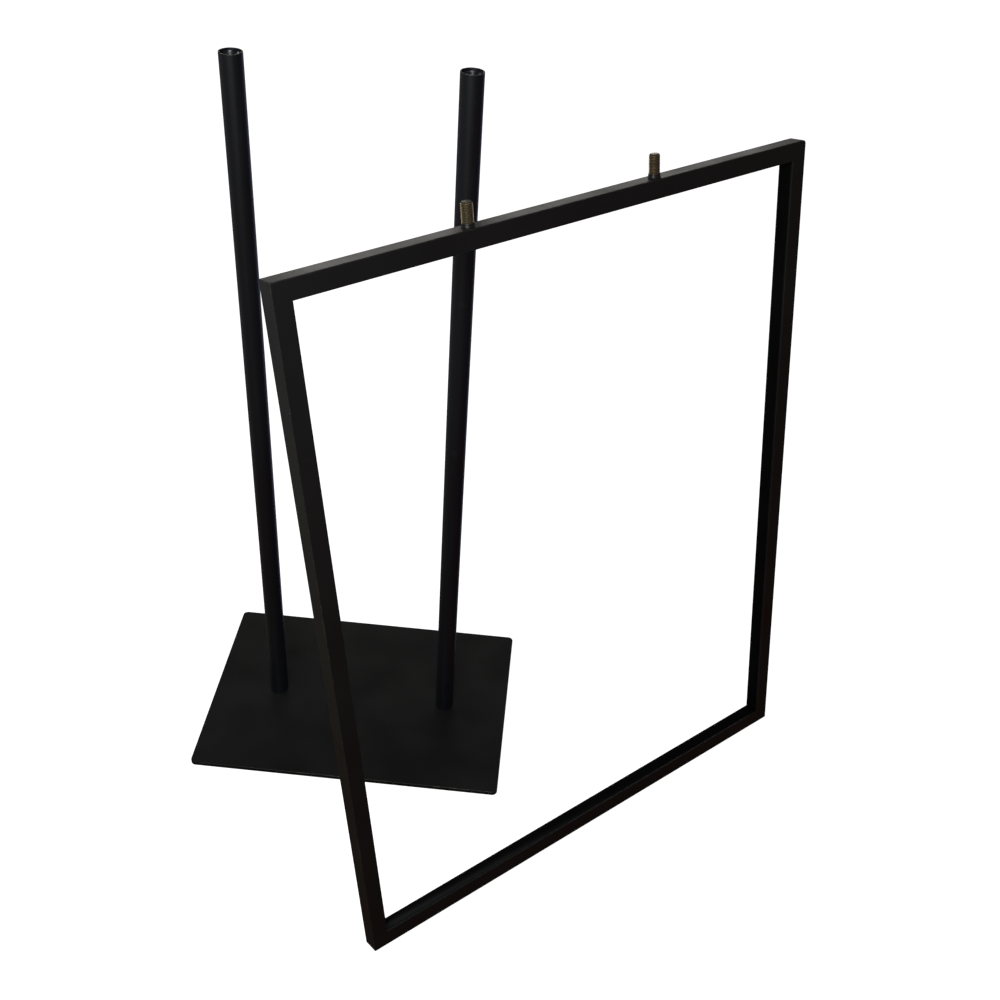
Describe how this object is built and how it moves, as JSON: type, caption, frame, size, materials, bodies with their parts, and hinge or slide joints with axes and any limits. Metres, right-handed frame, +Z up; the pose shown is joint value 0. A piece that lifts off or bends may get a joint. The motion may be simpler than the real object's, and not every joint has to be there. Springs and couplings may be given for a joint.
{
  "type": "sign stand",
  "caption": "Knock-down floor sign stand: flat steel base with round tube posts, and a mitred channel frame whose threaded studs screw into the post tops.",
  "frame": {"origin": "middle of the base plate's underside, on the floor", "axes": "+Z up; +X along the sign frame's bottom bar; +Y the way the sign frame leans, from its face to its back"},
  "size_m": [0.7213, 0.6226, 0.888],
  "materials": {
    "black_powder_coat": "satin",
    "black_tube": "satin",
    "dark_steel": "blackened",
    "yellow_zinc": "yellow zinc plated"
  },
  "bodies": {
    "base": {"base_plate": "black_powder_coat"},
    "post_left": {"post_left": "black_tube", "post_top_insert_left": "dark_steel", "post_foot_plug_left": "dark_steel"},
    "post_right": {"post_right": "black_tube", "post_top_insert_right": "dark_steel", "post_foot_plug_right": "dark_steel"},
    "base_screw_left": {"base_screw_left": "dark_steel"},
    "base_screw_right": {"base_screw_right": "dark_steel"},
    "sign_frame": {"frame_top_bar": "black_powder_coat", "frame_bottom_bar": "black_powder_coat", "frame_left_bar": "black_powder_coat", "frame_right_bar": "black_powder_coat", "stud_left": "yellow_zinc", "stud_right": "yellow_zinc", "stud_collar_left": "black_powder_coat", "stud_collar_right": "black_powder_coat"}
  },
  "joints": [
    {"name": "frame_lift", "type": "slide", "parent": "base", "child": "sign_frame", "axis": [0, 0, 1], "range_m": [0, 0.9]},
    {"name": "post_left_turn", "type": "hinge", "parent": "base", "child": "post_left", "pos_m": [-0.08884, 0.08141, 0.006], "axis": [0, 0, 1], "continuous": true},
    {"name": "base_screw_left_turn", "type": "hinge", "parent": "base", "child": "base_screw_left", "pos_m": [-0.08884, 0.08141, 0], "axis": [0, 0, 1], "continuous": true},
    {"name": "post_right_turn", "type": "hinge", "parent": "base", "child": "post_right", "pos_m": [0.08884, -0.08141, 0.006], "axis": [0, 0, 1], "continuous": true},
    {"name": "base_screw_right_turn", "type": "hinge", "parent": "base", "child": "base_screw_right", "pos_m": [0.08884, -0.08141, 0], "axis": [0, 0, 1], "continuous": true}
  ]
}
